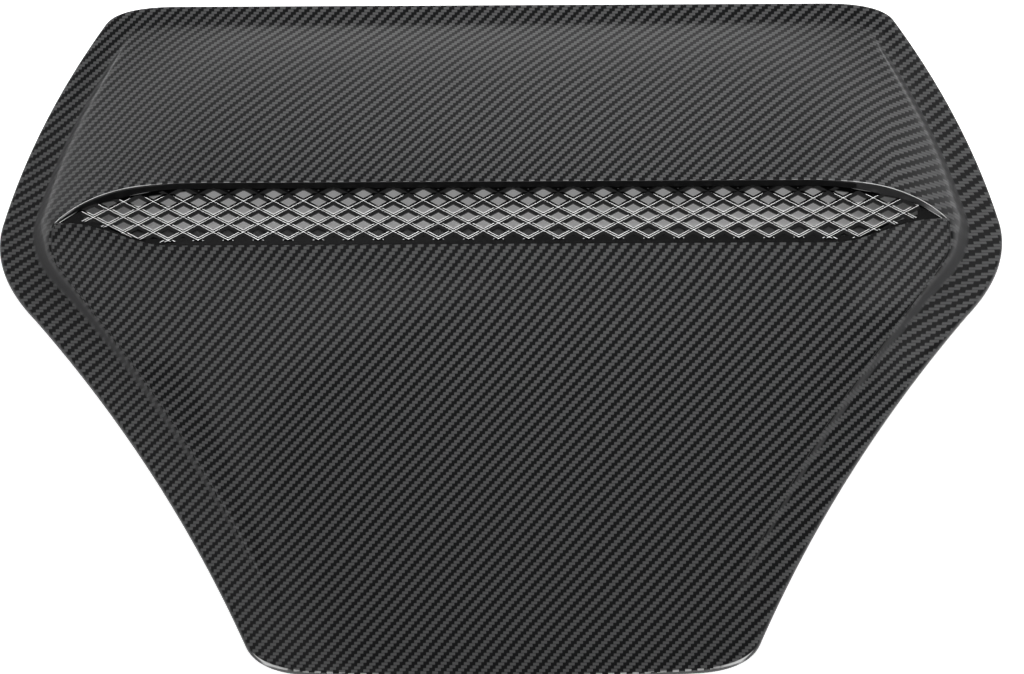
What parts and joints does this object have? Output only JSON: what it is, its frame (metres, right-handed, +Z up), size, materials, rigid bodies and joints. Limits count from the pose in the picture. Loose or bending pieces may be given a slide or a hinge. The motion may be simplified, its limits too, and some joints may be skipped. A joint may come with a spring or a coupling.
{
  "type": "bonnet vent",
  "caption": "Stick-on bonnet vent: a wide, low moulded cover with a leaf-shaped mouth under a raised lip, and a diamond mesh set in the mouth.",
  "frame": {"origin": "centre of the cover's footprint, on the plane that lies on the bonnet", "axes": "+X to the right across the cover's width, +Y from the pointed front edge past the mouth to the wide back edge, +Z up from the bonnet"},
  "size_m": [0.4996, 0.404, 0.0339],
  "materials": {
    "carbon_look": "glossy clear coat over a woven black and grey film",
    "black_mesh": "glossy"
  },
  "bodies": {
    "root": {"vent_cover": "carbon_look", "mesh_insert": "black_mesh"}
  },
  "joints": []
}
